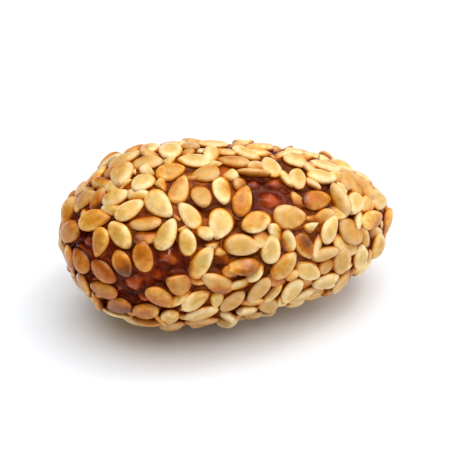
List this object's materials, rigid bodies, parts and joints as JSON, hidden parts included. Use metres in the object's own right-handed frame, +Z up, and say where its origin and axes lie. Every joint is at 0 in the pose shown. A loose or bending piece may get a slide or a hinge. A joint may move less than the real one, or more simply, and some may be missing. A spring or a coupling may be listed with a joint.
{
  "type": "sesame coated almond",
  "caption": "One sugar-glazed almond thickly coated with toasted sesame seeds, blunt at one end and tapering at the other, lying on its flatter side.",
  "frame": {"origin": "on the surface that the sweet lies on, below the middle of its box", "axes": "+X along the almond from its blunt end to its tip, +Z up from the surface that it lies on"},
  "size_m": [0.028, 0.0166, 0.0149],
  "materials": {
    "sesame_coat": "toasted sesame seeds with a light sugar gloss",
    "sugar_glaze": "glossy dark caramel glaze between the seeds"
  },
  "bodies": {
    "root": {"sesame_almond": "sesame_coat"}
  },
  "joints": []
}
